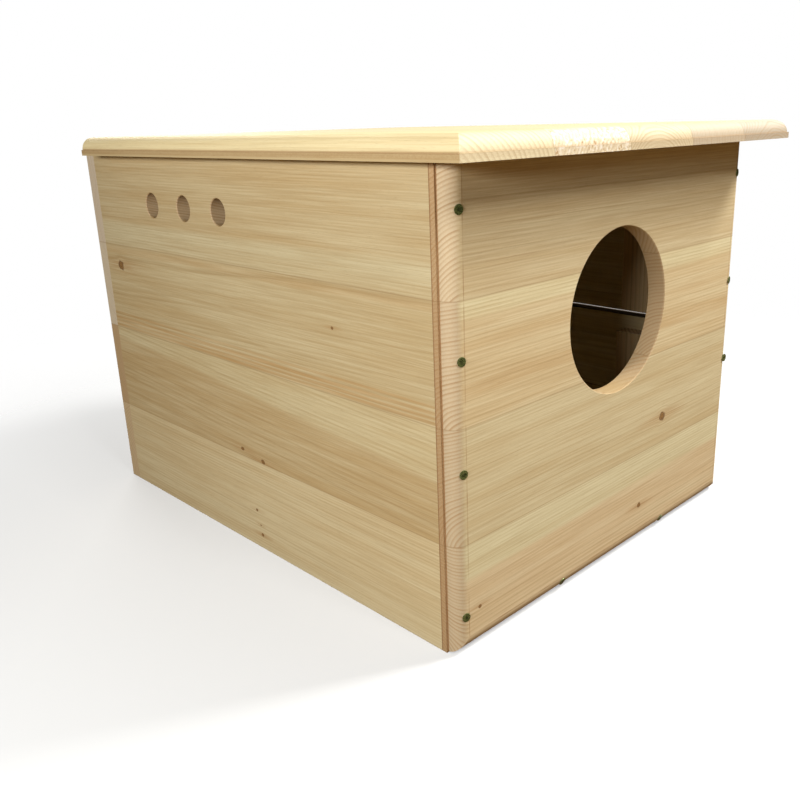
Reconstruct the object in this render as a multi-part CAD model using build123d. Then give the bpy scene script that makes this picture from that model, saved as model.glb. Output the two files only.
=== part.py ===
from build123d import *
import os

# Barn owl nest box: a pine box of edge-glued panels under an overhanging flat lid.
# Frame: millimetres, +Z up, the entrance faces -Y, origin on the ground at the
# middle of the box's footprint.

# Edge-glued pine panels
panel_thickness = 19.0
board_width = 101.6
edge_ease = 0.8

# Box
box_width = 457.2
box_length = 589.0
wall_boards = 4
floor_boards = 4

# Routed edge of the roof and of the front panel: round-over, small step, square lip
round_radius = 13.0
round_step = 1.4

# Roof panel
roof_boards = 5
roof_front_overhang = 36.0
roof_back_inset = 49.0

# Round entrance in the front panel
entrance_radius = 78.5
entrance_height = 259.0

# Air holes high in each side wall, towards the back
vent_radius = 13.0
vent_count = 3
vent_pitch = 66.0
vent_below_top = 52.0
first_vent_from_front = 310.0

# Clean-out door: the lower half of the right wall, swinging out on two screws
door_boards = 2
door_end_gap = 5.0
door_top_gap = 5.0
door_bottom_gap = 2.5
pivot_height = 166.0

# Upright battens inside the right wall
batten_width = 101.6
batten_thickness = 19.0
wall_batten_lift = 5.5
door_batten_drop = 19.0
door_batten_floor_gap = 12.0

# Screws on which the door turns, with tapered heads and six-lobed recesses
pivot_shank_radius = 2.25
pivot_shank_length = 40.0
pivot_head_radius = 4.25
pivot_head_taper = 2.2
pivot_head_rim = 0.8
pivot_recess_radius = 1.3
pivot_lobe_radius = 0.45
pivot_recess_depth = 1.8
pivot_clearance = 0.3
pivot_tip_clearance = 1.5

# Worked out from the sizes above
wall_height = wall_boards * board_width
half_width = box_width / 2
front = -box_length / 2
back = box_length / 2
inner_front = front + panel_thickness
inner_back = back - panel_thickness
inner_half = half_width - panel_thickness
split_height = door_boards * board_width
door_top = split_height - door_top_gap / 2
upper_wall_bottom = split_height + door_top_gap / 2
roof_width = roof_boards * board_width
roof_front = front - roof_front_overhang
roof_back = back - roof_back_inset
pivot_x = half_width - panel_thickness / 2
far = box_length + box_width + wall_height

os.makedirs("parts", exist_ok=True)


def save(shape, name):
    """Writes one node."""
    shape.label = name
    export_step(shape, f"parts/{name}.step")


def block(x0, x1, y0, y1, z0, z1):
    """A square-edged block between two corners."""
    middle = ((x0 + x1) / 2, (y0 + y1) / 2, (z0 + z1) / 2)
    return Pos(*middle) * Box(x1 - x0, y1 - y0, z1 - z0)


def slab(axis, low, high):
    """Everything between two planes across the X or the Z axis."""
    if axis == "x":
        return block(low, high, -far, far, -far, far)
    return block(-far, far, -far, far, low, high)


def save_boards(panel, axis, start, width, indexes, prefix):
    """Saws a panel along its glue lines and writes each board as a node."""
    for index in indexes:
        low = start + index * width
        save(panel & slab(axis, low, low + width), f"{prefix}_board_{index + 1}")


def edge_waste(length):
    """What the router takes from an edge that runs along X.

    The panel's outer face is the plane Z = 0 and its edge the plane Y = 0, the
    panel lying towards +Y and -Z. A round-over is left, ending in a small step.
    """
    reach = round_step + round_radius
    with BuildSketch(Plane.YZ) as section:
        with BuildLine():
            CenterArc((reach, -round_radius), round_radius, 90, 90)
            Line((round_step, -round_radius), (-reach, -round_radius))
            Line((-reach, -round_radius), (-reach, reach))
            Line((-reach, reach), (reach, reach))
            Line((reach, reach), (reach, 0))
        make_face()
    return extrude(section.sketch, amount=length / 2, both=True)


def routed_panel(width, height):
    """A panel with its outer face up, its left, right and near edges routed."""
    panel = block(-width / 2, width / 2, 0, height, -panel_thickness, 0)
    waste = edge_waste(2 * (width + height))
    panel = panel - waste
    panel = panel - Pos(-width / 2, 0, 0) * Rot(0, 0, -90) * waste
    return panel - Pos(width / 2, 0, 0) * Rot(0, 0, 90) * waste


def drill_vents(wall, side):
    """Drills the air holes of one side wall; side is -1 for left, 1 for right."""
    for index in range(vent_count):
        y = front + first_vent_from_front + index * vent_pitch
        hole = Cylinder(vent_radius, 3 * panel_thickness, rotation=(0, 90, 0))
        wall = wall - Pos(side * pivot_x, y, wall_height - vent_below_top) * hole
    return ease_bores(wall, vent_radius)


def ease_bores(panel, radius):
    """Sands the sharp edges of a panel's bores of one radius."""
    circles = panel.edges().filter_by(GeomType.CIRCLE)
    return chamfer([edge for edge in circles if abs(edge.radius - radius) < edge_ease], edge_ease)


def pillar(radius, low, high):
    """A round bar along Z."""
    return Pos(0, 0, (low + high) / 2) * Cylinder(radius, high - low)


def head_taper(radius):
    """The sunk part of a door screw's head, down from the panel's face at Z = 0."""
    return Pos(0, 0, pivot_head_taper / 2) * Cone(radius, pivot_shank_radius, pivot_head_taper)


# Door screw along +Z, its panel's outer face at Z = 0, and the holes that it needs
pivot_screw = pillar(pivot_shank_radius, 0, pivot_shank_length) + head_taper(pivot_head_radius)
pivot_screw = pivot_screw + pillar(pivot_head_radius, -pivot_head_rim, 0)
recess = Circle(pivot_recess_radius) + PolarLocations(pivot_recess_radius, 6) * Circle(pivot_lobe_radius)
pivot_screw = pivot_screw - Pos(0, 0, -pivot_head_rim) * extrude(recess, amount=pivot_recess_depth)
panel_hole = pillar(pivot_shank_radius, -panel_thickness, 2 * panel_thickness)
panel_hole = panel_hole + head_taper(pivot_head_radius + pivot_clearance)
door_hole = pillar(pivot_shank_radius + pivot_clearance, 0, pivot_shank_length + pivot_tip_clearance)
into_front = Pos(pivot_x, front, pivot_height) * Rot(-90, 0, 0)
into_back = Pos(pivot_x, back, pivot_height) * Rot(90, 0, 0)

# Front panel: four boards, routed at the left, right and bottom, round entrance
front_panel = Pos(0, front, 0) * Rot(90, 0, 0) * routed_panel(box_width, wall_height)
entrance = Cylinder(entrance_radius, 3 * panel_thickness, rotation=(90, 0, 0))
front_panel = front_panel - Pos(0, front, entrance_height) * entrance
front_panel = ease_bores(front_panel, entrance_radius) - into_front * panel_hole
save_boards(front_panel, "z", 0, board_width, range(wall_boards), "front")

# Back panel: four plain boards that cover the ends of the side walls
back_panel = block(-half_width, half_width, inner_back, back, 0, wall_height)
outer_edges = back_panel.faces().sort_by(Axis.Y)[-1].edges()
back_panel = fillet(outer_edges, edge_ease) - into_back * panel_hole
save_boards(back_panel, "z", 0, board_width, range(wall_boards), "back")

# Left wall: four boards, air holes in the top one
left_wall = block(-half_width, -inner_half, inner_front, inner_back, 0, wall_height)
left_wall = drill_vents(left_wall, -1)
save_boards(left_wall, "z", 0, board_width, range(wall_boards), "left_wall")

# Right wall, fixed upper half: two boards, air holes in the top one
right_wall = block(inner_half, half_width, inner_front, inner_back, upper_wall_bottom, wall_height)
right_wall = drill_vents(right_wall, 1)
save_boards(right_wall, "z", 0, board_width, range(door_boards, wall_boards), "right_wall")

# Clean-out door: the two lower boards, clear of the panels at both ends
door_front = inner_front + door_end_gap
door_back = inner_back - door_end_gap
door = block(inner_half, half_width, door_front, door_back, door_bottom_gap, door_top)
door = fillet(door.edges(), edge_ease) - into_front * door_hole - into_back * door_hole
save_boards(door, "z", 0, board_width, range(door_boards), "door")


def batten(y, bottom, top):
    """An upright batten on the right wall's inner face, its inner edges sanded."""
    board = block(inner_half - batten_thickness, inner_half, y, y + batten_width, bottom, top)
    return fillet(board.faces().sort_by(Axis.X)[0].edges(), edge_ease)


# Battens across the glue lines, inside the fixed half and inside the door
wall_batten_bottom = upper_wall_bottom + wall_batten_lift
for place, y in (("front", inner_front), ("back", inner_back - batten_width)):
    save(batten(y, wall_batten_bottom, wall_height), f"wall_batten_{place}")
door_batten_bottom = panel_thickness + door_batten_floor_gap
door_batten_top = split_height - door_batten_drop
for place, y in (("front", door_front), ("back", door_back - batten_width)):
    save(batten(y, door_batten_bottom, door_batten_top), f"door_batten_{place}")

# Floor: boards running front to back, stopping short of the door
floor_right = inner_half - door_end_gap
floor = block(-inner_half, floor_right, inner_front, inner_back, 0, panel_thickness)
floor_board_width = (floor_right + inner_half) / floor_boards
save_boards(floor, "x", -inner_half, floor_board_width, range(floor_boards), "floor")

# Roof: boards running front to back, routed at the front and both sides
roof = routed_panel(roof_width, roof_back - roof_front)
roof = Pos(0, roof_front, wall_height + panel_thickness) * roof
save_boards(roof, "x", -roof_width / 2, board_width, range(roof_boards), "roof")

# Screws that the door turns on, through the front and the back panel
save(into_front * pivot_screw, "pivot_screw_front")
save(into_back * pivot_screw, "pivot_screw_back")
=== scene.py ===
import bpy
import bmesh
import math
from mathutils import Matrix, Quaternion, Vector


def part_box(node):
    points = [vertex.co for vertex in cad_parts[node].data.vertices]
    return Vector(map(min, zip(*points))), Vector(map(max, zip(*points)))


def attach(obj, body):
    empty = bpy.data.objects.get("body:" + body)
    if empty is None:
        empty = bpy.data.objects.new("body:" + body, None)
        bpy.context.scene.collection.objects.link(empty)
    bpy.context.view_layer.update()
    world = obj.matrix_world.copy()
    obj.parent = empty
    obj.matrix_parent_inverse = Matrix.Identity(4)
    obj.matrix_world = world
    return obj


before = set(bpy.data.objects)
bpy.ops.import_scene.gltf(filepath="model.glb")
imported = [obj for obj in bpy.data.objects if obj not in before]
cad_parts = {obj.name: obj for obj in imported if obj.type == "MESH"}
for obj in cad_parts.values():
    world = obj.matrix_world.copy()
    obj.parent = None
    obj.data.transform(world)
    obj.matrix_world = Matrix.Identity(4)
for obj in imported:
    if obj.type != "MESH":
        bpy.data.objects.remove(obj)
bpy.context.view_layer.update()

# Front panel: four pine boards glued edge to edge, planed, then routed round the
# left, right and bottom edges and bored for the owl's entrance. Screwed on from
# the front into the ends of the side walls and of the floor.


def linear(text):
    """An sRGB hex colour as linear RGBA."""
    parts = [int(text[i:i + 2], 16) / 255 for i in (1, 3, 5)]
    return [p / 12.92 if p <= 0.04045 else ((p + 0.055) / 1.055) ** 2.4 for p in parts] + [1.0]


def add(tree, kind, *inputs, out=0, **settings):
    """Adds a shader node, sets it, fills or links its inputs in order and returns an output."""
    made = tree.nodes.new("ShaderNode" + kind)
    for key, value in settings.items():
        setattr(made, key, value)
    for socket, value in zip([s for s in made.inputs if s.enabled], inputs):
        if isinstance(value, bpy.types.NodeSocket):
            tree.links.new(value, socket)
        else:
            socket.default_value = linear(value) if isinstance(value, str) else value
    return [s for s in made.outputs if s.enabled][out]


def patches(tree, at, along, across, detail):
    """Patches from 0 to 1, so many mm long and wide, drawn out along the grain."""
    place = add(tree, "VectorMath", at, (1 / along, 1 / across, 1 / across), operation="MULTIPLY")
    return add(tree, "TexNoise", place, 1.0, detail)


def reach_from(tree, u, s, knot, drawn_out=1.0):
    """Distance from a knot's middle in knot radii, drawn out along the grain."""
    along, over, radius = knot
    du = add(tree, "Math", u, -along, operation="ADD")
    du = add(tree, "Math", du, drawn_out * radius, operation="DIVIDE")
    ds = add(tree, "Math", s, -over, operation="ADD")
    ds = add(tree, "Math", ds, radius, operation="DIVIDE")
    return add(tree, "VectorMath", add(tree, "CombineXYZ", du, ds), operation="LENGTH")


def part_round(tree, u, s, knot):
    """Grain that parts round a knot and closes again behind it."""
    reach = add(tree, "Math", reach_from(tree, u, s, knot), 1.0, operation="MAXIMUM")
    share = add(tree, "Math", reach, -2.0, operation="POWER")
    share = add(tree, "Math", 1.0, share, operation="SUBTRACT")
    offset = add(tree, "Math", s, -knot[1], operation="ADD")
    return add(tree, "Math", offset, share, knot[1], operation="MULTIPLY_ADD")


def draw_knot(tree, at, u, s, knot, colour, fibre):
    """A knot: a resinous halo drawn out along the grain, a bark ring and rings of its own."""
    halo = add(tree, "MapRange", reach_from(tree, u, s, knot, 6.0), 2.0, 0.4)
    streaks = add(tree, "MapRange", fibre, 0.35, 0.6, 0.15, 0.6)
    halo = add(tree, "Math", halo, streaks, operation="MULTIPLY")
    colour = add(tree, "Mix", halo, colour, "#A88050", data_type="RGBA")
    wobble = add(tree, "MapRange", patches(tree, at, 5.0, 4.0, 1.0), 0.0, 1.0, -0.45, 0.45)
    reach = add(tree, "Math", reach_from(tree, u, s, knot, 1.2), wobble, operation="ADD")
    bark = add(tree, "MapRange", reach, 1.15, 0.8, 0.0, 0.9)
    colour = add(tree, "Mix", bark, colour, "#6A4A2A", data_type="RGBA")
    rings = add(tree, "Math", reach, 2.5, operation="MULTIPLY")
    rings = add(tree, "MapRange", add(tree, "Math", rings, operation="FRACT"), 0.3, 0.9)
    heart = add(tree, "Mix", rings, "#94703F", "#6E4D2C", data_type="RGBA")
    return add(tree, "Mix", add(tree, "MapRange", reach, 0.75, 0.5), colour, heart, data_type="RGBA")


def bore_wall(tree, u, s, bore, colour, ending):
    """The wall of a bore: scorched a little by the saw, and browner than the face."""
    eased, sawn = (1.0 + margin / bore[2] for margin in (0.9, 0.5))
    inside = add(tree, "MapRange", reach_from(tree, u, s, bore), eased, sawn)
    scorch = add(tree, "MapRange", ending, 0.0, 1.0, 0.55, 0.4)
    inside = add(tree, "Math", inside, scorch, operation="MULTIPLY")
    return add(tree, "Mix", inside, colour, "#98733F", data_type="RGBA")


def router_marks(tree, at, u, s, out, length, half, edges, rub_and_step_shade, back_edge, colour):
    """The brown lip that the router's bearing rubbed, painted shade in the step's hollow and in the
    gap along the lip's lower edge, and the scored line where its cut began.

    Sizes are in mm, and out is the height over the board's middle. edges names the routed edges of
    the board: its ends by low and high along the grain, its sides by left and right across it.
    rub_and_step_shade is how much the bearing marked the lip and how dark the painted shade in the
    step is, and back_edge how strong the lip's marks and the painted shade in the gap still are along
    its lower edge.
    """
    # heights over the board's middle of its face, of the lip's step and of its foot
    face = 9.5
    step = -3.2
    lip_foot = -9.5
    # how far in from the board's edge the lip reaches, and the whole of the router's cut
    lip_depth = 1.3
    cut_width = 14.6
    gaps = {"low": (u, 1.0, length), "high": (u, -1.0, length),
            "left": (s, 1.0, half), "right": (s, -1.0, half)}
    near = add(tree, "Math", *gaps[edges[0]], operation="MULTIPLY_ADD")
    for edge in edges[1:]:
        other = add(tree, "Math", *gaps[edge], operation="MULTIPLY_ADD")
        near = add(tree, "Math", near, other, operation="MINIMUM")
    rim = add(tree, "MapRange", near, lip_depth, lip_depth - 0.3)

    # The lip, rubbed brown in streaks
    streaks = add(tree, "MapRange", patches(tree, at, 0.9, 0.9, 1.0), 0.25, 0.7, 0.3, 0.6)
    lip = add(tree, "Math", rim, add(tree, "MapRange", out, step, step - 0.7), operation="MULTIPLY")
    lip = add(tree, "Math", lip, streaks, operation="MULTIPLY")
    lip = add(tree, "Math", lip, rub_and_step_shade, operation="MULTIPLY")
    lower = add(tree, "MapRange", out, lip_foot + 1.5, lip_foot + 2.3, back_edge, 1.0)
    lip = add(tree, "Math", lip, lower, operation="MULTIPLY")
    colour = add(tree, "Mix", lip, colour, "#A67E4E", data_type="RGBA")

    # Painted shade: a brown line in the hollow of the step, and a darker one in the gap along the
    # panel's back edge, where it meets the wall
    painted_step_shade = add(tree, "Math", add(tree, "Math", out, -step, operation="ADD"), operation="ABSOLUTE")
    painted_step_shade = add(tree, "MapRange", painted_step_shade, 1.1, 0.2, 0.0, 0.7)
    painted_step_shade = add(tree, "Math", painted_step_shade, add(tree, "MapRange", near, 2.6, 2.0), operation="MULTIPLY")
    painted_step_shade = add(tree, "Math", painted_step_shade, rub_and_step_shade, operation="MULTIPLY")
    colour = add(tree, "Mix", painted_step_shade, colour, "#8C6238", data_type="RGBA")
    painted_joint_shade = add(tree, "MapRange", out, lip_foot + 1.6, lip_foot + 0.3, 0.0, 0.75 * back_edge)
    painted_joint_shade = add(tree, "Math", rim, painted_joint_shade, operation="MULTIPLY")
    colour = add(tree, "Mix", painted_joint_shade, colour, "#7A5530", data_type="RGBA")

    # The scored line on the face, worn away here and there
    score = add(tree, "Math", near, -cut_width, operation="ADD")
    score = add(tree, "Math", score, operation="ABSOLUTE")
    score = add(tree, "MapRange", score, 0.75, 0.15)
    on_face = add(tree, "MapRange", out, face - 0.5, face - 0.2)
    score = add(tree, "Math", score, on_face, operation="MULTIPLY")
    wear = add(tree, "MapRange", patches(tree, at, 30.0, 30.0, 2.0), 0.35, 0.65, 0.0, 0.7)
    score = add(tree, "Math", score, wear, operation="MULTIPLY")
    return add(tree, "Mix", score, colour, "#8C6238", data_type="RGBA")


def pine(name, grain, across, depth, pith, lean=0.0, ring=3.4, wood="#C7B68E", late="#A08456",
         sap="#CFC198", sap_from=None, bands=(), contrast=0.4, knots=(), bores=(), end="#D3BE9C",
         end_rings=0.7, routed=(), rub_and_shade=(1.0, 1.3, 1.0), out=1.0, torn=0.0,
         edge_lines_and_shade=("#8A693F", 0.4)):
    """Planed pine for one board, cut from a log whose rings run round its own pith.

    It gives the eye pale yellow wood with fine darker lines that run on over the end
    grain, and a dull sheen. Real fibres and resin pores are too fine to show in the
    render, so they are drawn 1.1 and 0.45 mm across.

    Sizes are in mm. pith is where the log's middle lies from the board's middle, across
    and through the board, and lean is how far it moves across for each mm along the grain.
    bands are darker stripes: their place across the board, width and strength. knots and bores are a
    place along and across the board and a radius. rub_and_shade is how much the router's bearing
    marked side grain and end grain, which also sets the painted shade in the lip's step, and how
    strong the lip's marks and the painted shade in the gap stay along the lip's lower edge. out is
    the outer face's side, and edge_lines_and_shade the colour and strength of the lines along the
    board's edges: glue lines, and on the door's upper board painted shade.
    """
    low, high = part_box(name)
    order = ["xyz".index(letter) for letter in (grain, across, depth)]
    middle = [-500 * (a + b) for a, b in zip(low, high)]
    length, half = (500 * (high[axis] - low[axis]) for axis in order[:2])
    material = bpy.data.materials.new("planed pine " + name.replace("_", " "))
    material.use_nodes = True
    tree = material.node_tree
    shader = tree.nodes["Principled BSDF"]

    # Place on the board in mm: u along the grain, s across the board, w through it. at is
    # the same place moved on, so that no two boards share their patterns
    coordinates = tree.nodes.new("ShaderNodeTexCoord")
    place = add(tree, "VectorMath", coordinates.outputs["Object"], 1000.0, operation="SCALE")
    place = add(tree, "VectorMath", place, middle, operation="ADD")
    u, s, w = (add(tree, "SeparateXYZ", place, out=axis) for axis in order)
    at = add(tree, "CombineXYZ", u, s, w)
    moved_on = 37.0 * sum(ord(letter) for letter in name)
    at = add(tree, "VectorMath", at, [moved_on] * 3, operation="ADD")

    # Distance from the pith, with the slow wander of a real tree
    drift = add(tree, "MapRange", patches(tree, at, 300.0, 45.0, 1.0), 0.0, 1.0, -3.0, 3.0)
    aside = s
    for knot in knots:
        aside = part_round(tree, u, aside, knot)
    pith_here = add(tree, "Math", u, -lean, -pith[0], operation="MULTIPLY_ADD")
    aside = add(tree, "Math", aside, pith_here, operation="ADD")
    deep = add(tree, "Math", w, -pith[1], operation="ADD")
    distance = add(tree, "VectorMath", add(tree, "CombineXYZ", aside, deep), operation="LENGTH")
    distance = add(tree, "Math", distance, drift, operation="ADD")

    # Growth rings: pale early wood that darkens slowly to late wood, then stops at once
    turns = add(tree, "Math", distance, ring, operation="DIVIDE")
    share = add(tree, "Math", turns, operation="FRACT")
    dark = add(tree, "MapRange", share, 0.3, 0.85, interpolation_type="SMOOTHSTEP")
    dark = add(tree, "Math", dark, add(tree, "MapRange", share, 1.0, 0.88), operation="MULTIPLY")
    count = add(tree, "Math", turns, operation="FLOOR")
    each = add(tree, "TexWhiteNoise", count, noise_dimensions="1D")
    strength = add(tree, "MapRange", each, 0.0, 1.0, 0.15, 1.0)
    year = add(tree, "Math", dark, strength, operation="MULTIPLY")

    # Sapwood, stripes, slow mottling, fine fibres and resin pores
    colour = wood
    for over, wide, amount in bands:
        off = add(tree, "Math", add(tree, "Math", s, drift, operation="ADD"), -over, operation="ADD")
        off = add(tree, "Math", off, operation="ABSOLUTE")
        off = add(tree, "MapRange", off, 0.65 * wide, 0.3 * wide, 0.0, amount)
        colour = add(tree, "Mix", off, colour, "#B48F5C", data_type="RGBA")
    if sap_from is not None:
        edge = math.hypot(sap_from - pith[0], pith[1])
        outer = add(tree, "MapRange", distance, edge - 2.5, edge + 2.5)
        colour = add(tree, "Mix", outer, colour, sap, data_type="RGBA")
    mottle = patches(tree, at, 260.0, 13.0, 3.0)
    darker = add(tree, "MapRange", mottle, 0.45, 0.75, 0.0, 0.32)
    colour = add(tree, "Mix", darker, colour, "#B4945F", data_type="RGBA")
    paler = add(tree, "MapRange", mottle, 0.52, 0.28, 0.0, 0.35)
    colour = add(tree, "Mix", paler, colour, "#D6C9A2", data_type="RGBA")
    lines = add(tree, "Math", year, contrast, operation="MULTIPLY")
    colour = add(tree, "Mix", lines, colour, late, data_type="RGBA")
    fibre = patches(tree, at, 60.0, 1.1, 2.0)
    darker = add(tree, "MapRange", fibre, 0.45, 0.72, 0.0, 0.2)
    colour = add(tree, "Mix", darker, colour, "#94744A", data_type="RGBA")
    paler = add(tree, "MapRange", fibre, 0.5, 0.3, 0.0, 0.16)
    colour = add(tree, "Mix", paler, colour, "#E2D6B2", data_type="RGBA")
    pores = add(tree, "MapRange", patches(tree, at, 8.0, 0.45, 1.0), 0.64, 0.74, 0.0, 0.22)
    colour = add(tree, "Mix", pores, colour, "#8A6A42", data_type="RGBA")

    # Sawn end grain: the rings stand out on a paler and pinker ground, torn here and there
    ending = add(tree, "SeparateXYZ", coordinates.outputs["Normal"], out=order[0])
    ending = add(tree, "MapRange", add(tree, "Math", ending, operation="ABSOLUTE"), 0.12, 0.5)
    rings = add(tree, "MapRange", each, 0.0, 1.0, 0.35 * end_rings, end_rings)
    rings = add(tree, "Math", dark, rings, operation="MULTIPLY")
    cut = add(tree, "Mix", rings, end, "#9C774C", data_type="RGBA")
    speckle = patches(tree, at, 0.9, 0.9, 2.0)
    specks = add(tree, "MapRange", speckle, 0.5, 0.75, 0.0, 0.3)
    cut = add(tree, "Mix", specks, cut, "#AD8A5E", data_type="RGBA")
    if torn:
        pits = patches(tree, at, 2.6, 3.2, 3.0)
        ragged = add(tree, "MapRange", u, 1.0, -1.0, 0.0, torn)
        raised = add(tree, "MapRange", pits, 0.5, 0.36)
        raised = add(tree, "Math", raised, ragged, operation="MULTIPLY")
        cut = add(tree, "Mix", raised, cut, "#F4EDDC", data_type="RGBA")
        sunk = add(tree, "MapRange", pits, 0.62, 0.7)
        sunk = add(tree, "Math", sunk, ragged, operation="MULTIPLY")
        cut = add(tree, "Mix", sunk, cut, "#A9793F", data_type="RGBA")
    colour = add(tree, "Mix", ending, colour, cut, data_type="RGBA")
    if routed:
        away = add(tree, "Math", w, out, operation="MULTIPLY")
        rub_and_step_shade = add(tree, "MapRange", ending, 0.0, 1.0, *rub_and_shade[:2])
        colour = router_marks(tree, at, u, s, away, length, half, routed, rub_and_step_shade, rub_and_shade[2], colour)
    for bore in bores:
        colour = bore_wall(tree, u, s, bore, colour, ending)
    for knot in knots:
        colour = draw_knot(tree, at, u, s, knot, colour, fibre)

    # Glue lines along both sides of a panel's board. On the door's upper board the lines are near
    # black: painted shade, for the gap above the door.
    if "board" in name:
        line_colour, strength = edge_lines_and_shade
        seam = add(tree, "Math", s, operation="ABSOLUTE")
        seam = add(tree, "MapRange", seam, half - 0.9, half - 0.1, 0.0, strength)
        colour = add(tree, "Mix", seam, colour, line_colour, data_type="RGBA")
    tree.links.new(colour, shader.inputs["Base Color"])

    # Late wood stands a little proud of the planed face, and fibres roughen it
    tree.links.new(add(tree, "MapRange", fibre, 0.2, 0.8, 0.6, 0.78), shader.inputs["Roughness"])
    shader.inputs["Specular IOR Level"].default_value = 0.3
    height = add(tree, "Math", year, 0.4, fibre, operation="MULTIPLY_ADD")
    height = add(tree, "Math", speckle, ending, height, operation="MULTIPLY_ADD")
    bump = add(tree, "Bump", 0.2, 0.0004, 0.1, height)
    tree.links.new(bump, shader.inputs["Normal"])
    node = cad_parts[name]
    node.data.materials.clear()
    node.data.materials.append(material)


entrance_height = 259.0
entrance_radius = 78.5
for name, middle, ring, pith, wood, look in (
    ("front_board_1", 50.8, 3.0, (-60.0, 20.0), "#CDB68F",
     {"sap": "#CEC29A", "sap_from": 22.0, "end": "#BDAA8A",
      "knots": ((49.4, -8.8, 2.6), (-200.6, -12.8, 1.6))}),
    ("front_board_2", 152.4, 3.0, (-60.0, -35.0), "#C5B48C",
     {"end": "#BDAA8A", "knots": ((87.4, -21.4, 4.6),)}),
    ("front_board_3", 254.0, 3.3, (-63.0, -22.0), "#C9B389",
     {"sap": "#D2C49A", "sap_from": 33.0, "end": "#C2AE8D",
      "bands": ((-20.0, 14.0, 0.35), (12.0, 10.0, 0.2))}),
    ("front_board_4", 355.6, 3.1, (-99.0, -70.0), "#C4B088", {"end": "#C9B593"}),
):
    lowest = name == "front_board_1"
    edges = ("low", "high", "left") if lowest else ("low", "high")
    bores = () if lowest else ((0.0, entrance_height - middle, entrance_radius),)
    pine(name, "x", "z", "y", pith, ring=ring, wood=wood, routed=edges, bores=bores, out=-1.0, **look)

# Back panel: four plain pine boards, square at the edges. It covers the ends of
# the side walls, and its end grain shows as a narrow strip down the back corner.
for number, pith, ring, wood, end, knots in (
    (1, (-70.0, -60.0), 3.4, "#C8B284", "#C6AE88", ()),
    (2, (20.0, -45.0), 4.0, "#C4AA7A", "#B79B74", ()),
    (3, (80.0, -70.0), 3.0, "#CCB88C", "#CDBFA5", ((-120.0, 14.0, 6.5),)),
    (4, (-20.0, -90.0), 3.6, "#C9B083", "#CDBEA6", ()),
):
    pine(f"back_board_{number}", "x", "z", "y", pith, ring=ring, wood=wood, end=end, end_rings=0.35,
         knots=knots)

# Left wall: four pine boards glued edge to edge, planed, with three air holes
# near the back. Caught between the front and the back panel.
first_vent = 15.5
vent_pitch = 66.0
vent_drop = -1.2
vent_radius = 13.0
vents = [(first_vent + vent_pitch * number, vent_drop, vent_radius) for number in range(3)]
pine("left_wall_board_1", "y", "z", "x", pith=(-200.0, 60.0), ring=3.2, wood="#CDBA90", contrast=0.3,
     knots=((-1.5, -7.3, 1.6), (-6.0, -24.0, 1.0), (-8.0, -34.8, 1.8)))
pine("left_wall_board_2", "y", "z", "x", pith=(-75.0, 30.0), lean=0.065, ring=4.4, wood="#B9A175",
     sap="#C6B58B", sap_from=25.0, contrast=0.45, knots=((14.5, -42.9, 2.4), (-22.0, -48.4, 2.6)))
pine("left_wall_board_3", "y", "z", "x", pith=(70.0, 60.0), lean=-0.03, ring=3.8, wood="#BDA97F",
     contrast=0.5,
     bands=((-48.0, 3.0, 0.8), (-44.0, 3.0, 0.7), (-39.5, 3.5, 0.8), (-34.0, 2.5, 0.6),
            (45.0, 8.0, 0.35)),
     knots=((242.5, 27.0, 5.6), (-152.0, 11.0, 1.4)))
pine("left_wall_board_4", "y", "z", "x", pith=(150.0, 40.0), ring=2.8, wood="#BEA97F", sap="#C4B58E",
     sap_from=-27.0, contrast=0.35, bores=vents)

# Right wall, fixed upper half: two pine boards like the left wall's, with the
# same air holes. It ends 5 mm above the clean-out door.
pine("right_wall_board_3", "y", "z", "x", pith=(-60.0, -60.0), lean=0.02, ring=3.8, wood="#C2AC7E")
pine("right_wall_board_4", "y", "z", "x", pith=(110.0, -50.0), ring=3.0, wood="#C6B084", bores=vents)

# Clean-out door: the two lower boards of the right wall, on their own. It hangs on one screw at each
# end and swings outwards. The near black lines along the edges of its upper board are painted shade,
# standing in for the shade in the gap above the door.
pine("door_board_1", "y", "z", "x", pith=(-30.0, -55.0), ring=3.4, wood="#C6AE80",
     knots=((96.0, 11.0, 4.2),))
# Its edge lines are painted shade, darkest at the gap above the door.
pine("door_board_2", "y", "z", "x", pith=(40.0, -70.0), ring=4.0, wood="#CAB588",
     edge_lines_and_shade=("#33261A", 0.95))

# Battens: short upright pine boards across the glue lines inside the right wall,
# two on the fixed half and two on the door, planed and left square.
for half in ("wall", "door"):
    pine(half + "_batten_front", "z", "y", "x", pith=(-45.0, 60.0), ring=4.2, wood="#C4A476",
         contrast=0.8)
    pine(half + "_batten_back", "z", "y", "x", pith=(30.0, 70.0), ring=3.6, wood="#C8AF82",
         contrast=0.6)

# Floor: four pine boards from front to back, held by screws through the front
# and the back panel, and stopping short of the door.
for number, pith in enumerate(((-30.0, -50.0), (60.0, -70.0), (-80.0, -60.0), (20.0, -90.0)), 1):
    pine(f"floor_board_{number}", "y", "x", "z", pith=pith, ring=3.5)

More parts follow.
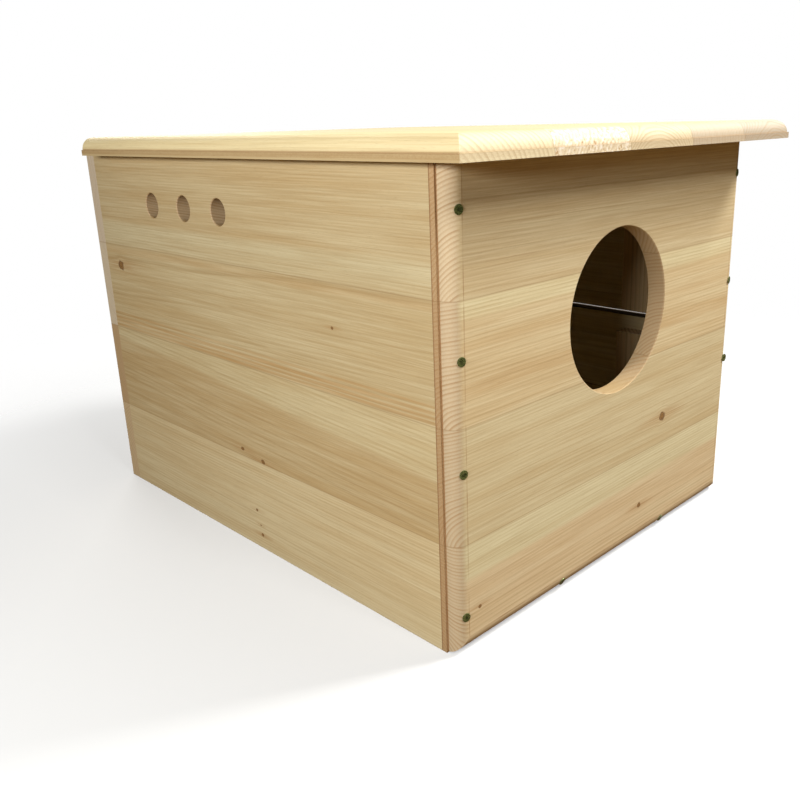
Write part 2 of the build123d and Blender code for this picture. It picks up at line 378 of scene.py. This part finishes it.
# Roof: five pine boards glued edge to edge, routed at the front and at both
# sides, and laid flat on the walls with the routed side up.
for number, (pith, ring, wood, end, torn, edges) in enumerate((
    ((-120.0, -85.0), 4.8, "#E4D2A2", "#DECFA8", 0.0, ("low", "left")),
    ((50.0, -45.0), 3.6, "#E0D0A8", "#E2D2B0", 0.8, ("low",)),
    ((-6.0, -46.0), 3.2, "#E2D2AA", "#D0BF9A", 0.0, ("low",)),
    ((170.0, 20.0), 3.0, "#DFCDA2", "#BFB096", 0.0, ("low",)),
    ((20.0, -60.0), 3.4, "#E0D0A6", "#B1A48E", 0.0, ("low", "right")),
), 1):
    pine(f"roof_board_{number}", "y", "x", "z", pith, ring=ring, wood=wood, end=end, end_rings=0.45,
         contrast=0.35, late="#B4935A", torn=torn, routed=edges, rub_and_shade=(0.9, 0.35, 0.1))

# Screws: steel with a dark green coating, flat heads with a six-lobed recess,
# driven in until the head beds in the pine. The door turns on two of them.
steel = bpy.data.materials.new("green coated steel")
steel.use_nodes = True
tree = steel.node_tree
coating = tree.nodes["Principled BSDF"]

# The coating gives the eye a dark olive green with duller, paler scuffs some 0.7 mm
# wide, where the steel begins to show
coordinates = tree.nodes.new("ShaderNodeTexCoord")
place = add(tree, "VectorMath", coordinates.outputs["Object"], 1000.0, operation="SCALE")
scuffs = add(tree, "TexNoise", place, 1.4, 3.0)
worn = add(tree, "MapRange", scuffs, 0.4, 0.62)
colour = add(tree, "Mix", worn, "#343F1C", "#7E8650", data_type="RGBA")
bare = add(tree, "MapRange", scuffs, 0.66, 0.78, 0.0, 0.8)
colour = add(tree, "Mix", bare, colour, "#8A8A76", data_type="RGBA")
tree.links.new(colour, coating.inputs["Base Color"])
tree.links.new(add(tree, "MapRange", scuffs, 0.3, 0.8, 0.45, 0.28), coating.inputs["Roughness"])
coating.inputs["Metallic"].default_value = 0.5
tree.links.new(add(tree, "Bump", 0.3, 0.0002, 0.1, scuffs), coating.inputs["Normal"])

# The recess is painted nearly black: painted shade, darker than its depth alone makes it
painted_recess_shade = bpy.data.materials.new("painted shade in a screw's recess")
painted_recess_shade.use_nodes = True
painted_recess_shade.node_tree.nodes["Principled BSDF"].inputs["Base Color"].default_value = linear("#0C0F07")


def screw(name, place, outward, turn):
    """A flat-headed screw whose head's outer face lies at a point and faces outward."""
    mesh = bmesh.new()
    segments = 48
    shank = 0.00225
    recess_radius = 0.00165
    recess_depth = 0.0017
    lobes = 6
    # radius and height over the head's outer face, from the tip up to the recess
    profile = ((0.0, -0.030), (shank, -0.026), (shank, -0.0034), (0.0038, -0.0008),
               (0.0040, -0.0005), (0.0039, -0.0001), (0.0036, 0.0))
    points = [mesh.verts.new((radius, 0.0, height)) for radius, height in profile]
    lines = [mesh.edges.new(pair) for pair in zip(points, points[1:])]
    bmesh.ops.spin(mesh, geom=points + lines, axis=(0, 0, 1), cent=(0, 0, 0), angle=2 * math.pi,
                   steps=segments, use_merge=True)
    bmesh.ops.remove_doubles(mesh, verts=mesh.verts, dist=0.000001)
    rim = [edge for edge in mesh.edges if edge.is_boundary]
    corners = bmesh.ops.create_circle(mesh, segments=segments, radius=recess_radius)["verts"]
    for corner in corners:
        corner.co *= 1 + 0.23 * math.cos(lobes * math.atan2(corner.co.y, corner.co.x))
    recess = list({edge for corner in corners for edge in corner.link_edges})
    bmesh.ops.bridge_loops(mesh, edges=rim + recess)
    wall = bmesh.ops.extrude_edge_only(mesh, edges=recess)["geom"]
    for corner in [part for part in wall if isinstance(part, bmesh.types.BMVert)]:
        corner.co = (0.9 * corner.co.x, 0.9 * corner.co.y, -recess_depth)
    open_edges = [edge for edge in mesh.edges if edge.is_boundary]
    sunk = bmesh.ops.holes_fill(mesh, edges=open_edges)["faces"]
    # The recess's walls and bottom get the painted shade
    for face in sunk + [part for part in wall if isinstance(part, bmesh.types.BMFace)]:
        face.material_index = 1
    aim = Vector(outward).to_track_quat("Z", "Y") @ Quaternion((0, 0, 1), turn)
    mesh.transform(Matrix.Translation(place) @ aim.to_matrix().to_4x4())
    bmesh.ops.recalc_face_normals(mesh, faces=mesh.faces)
    data = bpy.data.meshes.new(name)
    mesh.to_mesh(data)
    mesh.free()
    data.materials.append(steel)
    data.materials.append(painted_recess_shade)
    piece = bpy.data.objects.new(name, data)
    bpy.context.scene.collection.objects.link(piece)
    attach(piece, "box")


# At the front the heads sit on the rounding and lean outwards with it. At the back
# they stand square on the plain face.
front_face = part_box("front_board_4")[0].y
back_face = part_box("back_board_4")[1].y
side_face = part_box("front_board_4")[1].x
front_inset = 0.011
back_inset = 0.0095
side_lean = 0.22
bottom_lean = -0.4
for side, word, heights in (
    (-1, "left", (0.372, 0.258, 0.165, 0.035)),
    (1, "right", (0.372, 0.256)),
):
    for number, height in enumerate(heights, 1):
        place = (side * (side_face - front_inset), front_face - 0.0004, height)
        screw(f"screw_front_{word}_{number}", place, (side * side_lean, -1, 0), 1.3 * number + side)
        place = (side * (side_face - back_inset), back_face + 0.0002, height)
        screw(f"screw_back_{word}_{number}", place, (0, 1, 0), 2.1 * number + side)
for number, across in enumerate((-0.082, 0.097), 1):
    place = (across, front_face + 0.0006, 0.0085)
    screw(f"screw_front_bottom_{number}", place, (0, -1, bottom_lean), 0.7 * number)
    place = (across, back_face + 0.0002, back_inset)
    screw(f"screw_back_bottom_{number}", place, (0, 1, 0), 1.7 * number)
for word in ("front", "back"):
    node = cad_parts["pivot_screw_" + word]
    node.data.materials.clear()
    node.data.materials.append(steel)

# Floor and backdrop: a plain pale studio floor that fades into a white backdrop,
# under soft lamps to the left, to the upper right and over the camera, with one
# behind for the back.
sheet = bmesh.new()
bmesh.ops.create_grid(sheet, x_segments=1, y_segments=1, size=6.0)
ground = bpy.data.meshes.new("studio_floor")
sheet.to_mesh(ground)
sheet.free()
floor = bpy.data.objects.new("studio_floor", ground)
bpy.context.scene.collection.objects.link(floor)

# Matt paper, white to the eye, that throws back light tinted brown, as a wooden bench
# does. It is half clear under the object, so that the shadow on it is soft, and quite
# clear further out, so that it shows no edge.
paper = bpy.data.materials.new("matt white paper")
paper.use_nodes = True
tree = paper.node_tree
matt = tree.nodes["Principled BSDF"]
matt.inputs["Roughness"].default_value = 0.9
seen = tree.nodes.new("ShaderNodeLightPath").outputs["Is Camera Ray"]
white = add(tree, "Mix", seen, "#6A5230", "#DCDCDA", data_type="RGBA")
tree.links.new(white, matt.inputs["Base Color"])
coordinates = tree.nodes.new("ShaderNodeTexCoord")
distance = add(tree, "VectorMath", coordinates.outputs["Object"], operation="LENGTH")
near_by = 0.35
far_off = 1.2
fade = add(tree, "MapRange", distance, near_by, far_off, 0.45, 1.0,
           interpolation_type="SMOOTHSTEP")
fade = add(tree, "Math", fade, seen, operation="MULTIPLY")
clear = add(tree, "BsdfTransparent")
surface = add(tree, "MixShader", fade, matt.outputs["BSDF"], clear)
tree.links.new(surface, tree.nodes["Material Output"].inputs["Surface"])
ground.materials.append(paper)

aim = Vector((0, 0, 0.25))
for name, place, width, height, power in (
    ("lamp_left", (-1.3, -0.48, 0.58), 0.7, 0.15, 14.6),
    ("lamp_right", (1.45, -0.95, 1.8), 0.5, 0.5, 83.0),
    ("lamp_front", (-0.3, -1.45, 1.6), 0.55, 0.45, 20.0),
    ("lamp_back", (0.5, 1.9, 0.9), 1.0, 0.6, 24.0),
):
    lamp = bpy.data.lights.new(name, "AREA")
    lamp.shape = "RECTANGLE"
    lamp.size = width
    lamp.size_y = height
    lamp.energy = power
    stand = bpy.data.objects.new(name, lamp)
    stand.location = place
    stand.rotation_euler = (Vector(place) - aim).to_track_quat("Z", "Y").to_euler()
    stand.visible_camera = False
    bpy.context.scene.collection.objects.link(stand)

world = bpy.data.worlds.new("studio")
world.use_nodes = True
bpy.context.scene.world = world
tree = world.node_tree
seen = tree.nodes.new("ShaderNodeLightPath").outputs["Is Camera Ray"]
backdrop = add(tree, "Mix", seen, [0.05, 0.04, 0.024, 1.0], "#FFFFFF", data_type="RGBA")
tree.links.new(backdrop, tree.nodes["Background"].inputs["Color"])

# Camera: at the viewpoint of the photograph, level with the roof and to the left, about
# a metre from the box. The lens shift stands for the photograph's crop.
camera = bpy.data.cameras.new("camera")
camera.lens = 37.44
camera.shift_x = -0.0518
camera.shift_y = -0.0206
camera.clip_start = 0.01
eye = bpy.data.objects.new("camera", camera)
eye.location = (-0.6582, -0.7115, 0.4328)
eye.rotation_euler = [math.radians(angle) for angle in (72.488, 1.484, -45.564)]
bpy.context.scene.collection.objects.link(eye)
bpy.context.scene.camera = eye
bpy.context.scene.view_settings.view_transform = "Standard"
